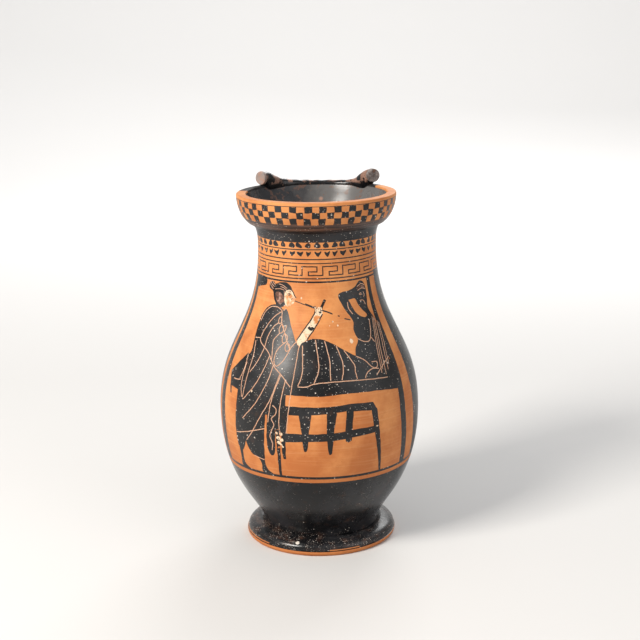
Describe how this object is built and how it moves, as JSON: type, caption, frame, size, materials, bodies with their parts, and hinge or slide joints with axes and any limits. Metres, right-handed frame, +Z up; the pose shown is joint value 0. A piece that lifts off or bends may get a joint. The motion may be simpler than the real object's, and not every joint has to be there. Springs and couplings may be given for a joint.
{
  "type": "olpe",
  "caption": "Black-figure clay jug with a round chequered mouth, a narrow neck, a full body, a low foot and a strap handle at the back.",
  "frame": {"origin": "middle of the flat underside of the foot, on the axis the jug was thrown on", "axes": "+Z up along the throwing axis; the painted panel faces -Y and the handle is at +Y"},
  "size_m": [0.137, 0.1466, 0.251],
  "materials": {
    "painted_clay": "fired orange clay with a black gloss painted over most of it, worn and chipped in places"
  },
  "bodies": {
    "root": {"olpe": "painted_clay"}
  },
  "joints": []
}
